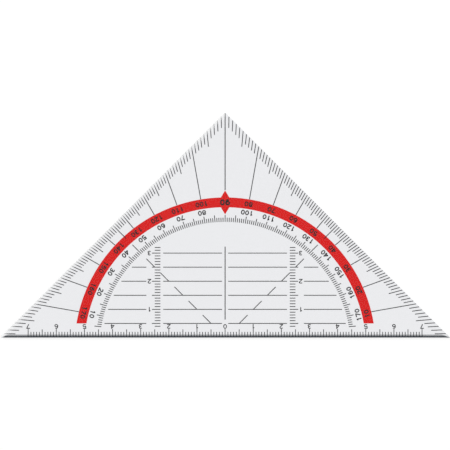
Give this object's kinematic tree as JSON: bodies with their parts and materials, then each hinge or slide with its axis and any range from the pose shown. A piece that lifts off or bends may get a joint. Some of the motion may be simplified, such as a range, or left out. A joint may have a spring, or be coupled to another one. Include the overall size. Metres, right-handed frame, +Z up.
{
  "type": "protractor set square",
  "caption": "Clear triangular set square with a centimetre ruler, two degree scales, guide lines and a red number band.",
  "frame": {"origin": "zero mark in the middle of the long edge, at the underside", "axes": "+X along the long edge, +Y from the long edge to the right-angled corner, +Z up through the plate"},
  "size_m": [0.16, 0.08, 0.002],
  "materials": {
    "clear_plastic": "gloss",
    "charcoal_ink": "matte",
    "red_ink": "matte"
  },
  "bodies": {
    "root": {"plate": "clear_plastic", "red_band": "red_ink", "ruler_ticks": "charcoal_ink", "ruler_numbers": "charcoal_ink", "left_leg_ticks": "charcoal_ink", "right_leg_ticks": "charcoal_ink", "ten_degree_rays": "charcoal_ink", "arc_ticks": "charcoal_ink", "arc_numbers": "charcoal_ink", "band_numbers": "charcoal_ink", "right_angle_number": "charcoal_ink", "parallel_lines": "charcoal_ink", "diagonal_dashes": "charcoal_ink", "centre_line": "charcoal_ink", "left_side_scale": "charcoal_ink", "right_side_scale": "charcoal_ink", "side_scale_numbers": "charcoal_ink"}
  },
  "joints": []
}
